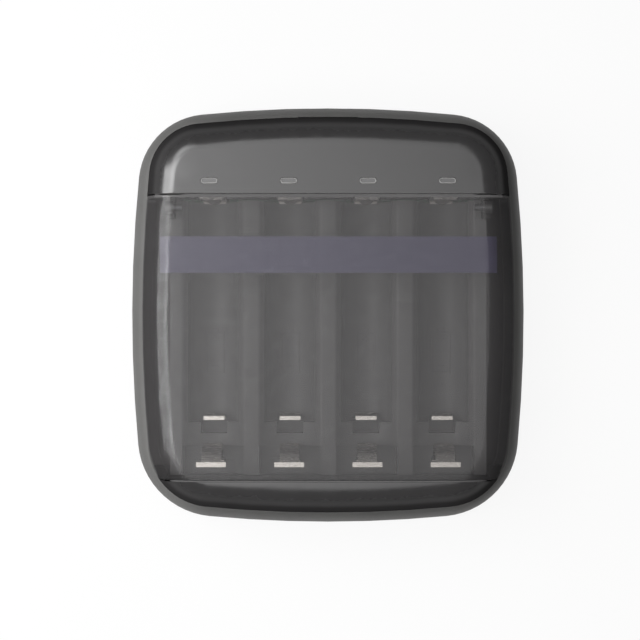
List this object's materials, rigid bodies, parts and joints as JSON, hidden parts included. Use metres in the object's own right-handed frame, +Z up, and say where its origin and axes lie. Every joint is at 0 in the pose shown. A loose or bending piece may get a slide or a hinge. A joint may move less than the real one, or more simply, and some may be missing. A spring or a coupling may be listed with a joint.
{
  "type": "aa battery charger",
  "caption": "Pillow-shaped desk charger for AA and AAA cells, with bays under a smoked hinged cover, spring contacts, light windows and a rear charging socket.",
  "frame": {"origin": "middle of the case on the plane that the feet stand on", "axes": "+Z up through the flat top, +Y towards the rear deck with the light windows and the socket"},
  "size_m": [0.084, 0.0886, 0.03],
  "materials": {
    "base_plastic": "fine spark-eroded texture",
    "case_plastic": "satin",
    "tray_plastic": "satin",
    "smoked_plastic": "clear smoked, polished",
    "tinted_film": "tinted, translucent",
    "nickel": "nickel plated",
    "steel": "plain",
    "board": "solder mask",
    "light_pipe": "frosted",
    "led_body": "moulded",
    "black_plastic": "moulded",
    "ferrite": "pressed powder",
    "can_aluminium": "drawn",
    "rubber": "matte"
  },
  "bodies": {
    "case": {"base_shell": "base_plastic", "upper_shell": "case_plastic", "battery_tray": "tray_plastic", "hinge_pin_left": "steel", "hinge_pin_right": "steel", "circuit_board": "board", "charging_socket": "steel", "charge_controller": "black_plastic", "power_inductor": "ferrite", "capacitors": "can_aluminium", "case_screws": "steel", "rubber_feet": "rubber", "positive_contact_1": "nickel", "positive_contact_2": "nickel", "positive_contact_3": "nickel", "positive_contact_4": "nickel", "large_leaf_1": "nickel", "large_leaf_2": "nickel", "large_leaf_3": "nickel", "large_leaf_4": "nickel", "small_leaf_1": "nickel", "small_leaf_2": "nickel", "small_leaf_3": "nickel", "small_leaf_4": "nickel", "light_pipe_1": "light_pipe", "light_pipe_2": "light_pipe", "light_pipe_3": "light_pipe", "light_pipe_4": "light_pipe", "led_1": "led_body", "led_2": "led_body", "led_3": "led_body", "led_4": "led_body"},
    "cover": {"cover": "smoked_plastic", "tint_strip": "tinted_film"}
  },
  "joints": [
    {"name": "cover_hinge", "type": "hinge", "parent": "case", "child": "cover", "pos_m": [0, 0.0217, 0.0276], "axis": [-1, 0, 0], "range_deg": [0, 95]}
  ]
}
